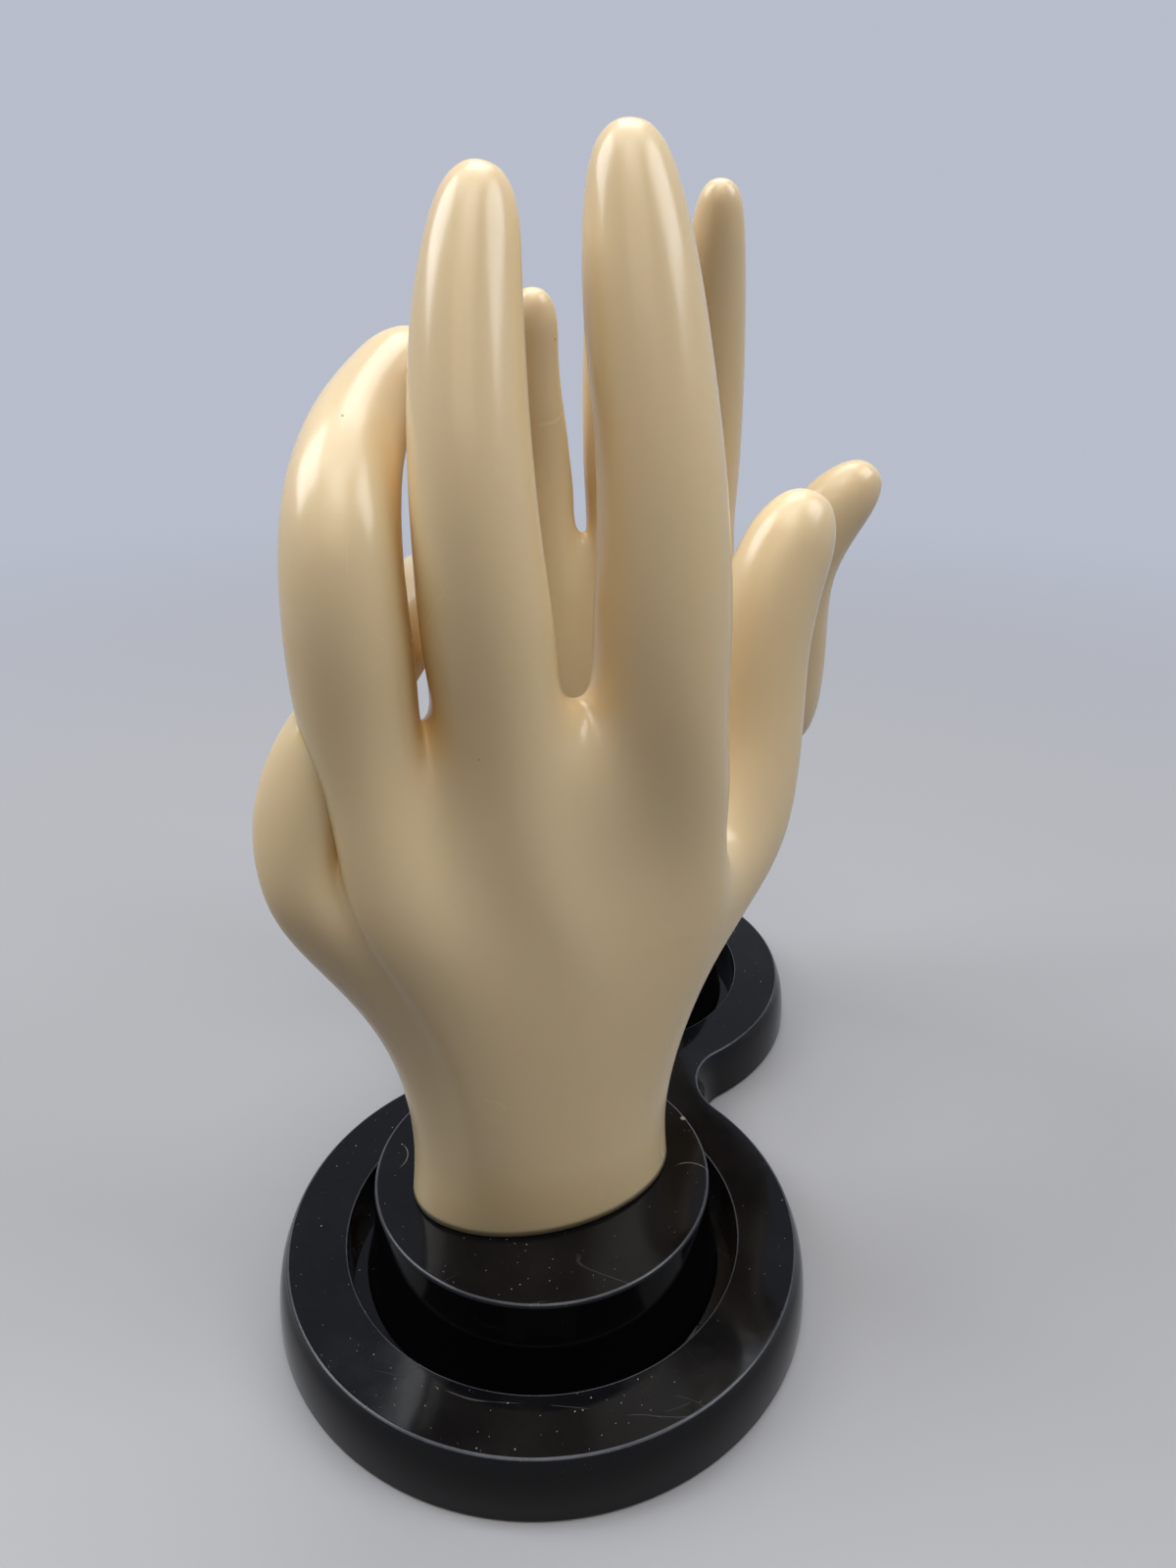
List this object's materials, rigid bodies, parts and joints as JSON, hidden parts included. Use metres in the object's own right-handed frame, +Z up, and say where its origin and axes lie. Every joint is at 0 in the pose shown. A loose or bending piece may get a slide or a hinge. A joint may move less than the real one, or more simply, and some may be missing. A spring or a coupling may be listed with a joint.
{
  "type": "hand jewelry stand",
  "caption": "Jewelry display stand: a pair of upright ivory plastic hands facing each other on a glossy black figure-eight base with ring wells",
  "frame": {"origin": "middle of the base on the table, on the bottom face of the rib across the waist", "axes": "+Y runs from the disc of the left hand to the disc of the right hand, +X is the side of both thumbs, +Z is up"},
  "size_m": [0.132, 0.227, 0.2359],
  "materials": {
    "black_plastic": "glossy black moulded plastic with fine scratches",
    "ivory_plastic": "satin-gloss ivory moulded plastic",
    "zinc_steel": "zinc plated steel"
  },
  "bodies": {
    "root": {"base": "black_plastic", "left_hand": "ivory_plastic", "right_hand": "ivory_plastic", "left_screw": "zinc_steel", "right_screw": "zinc_steel", "left_washer": "zinc_steel", "right_washer": "zinc_steel"}
  },
  "joints": []
}
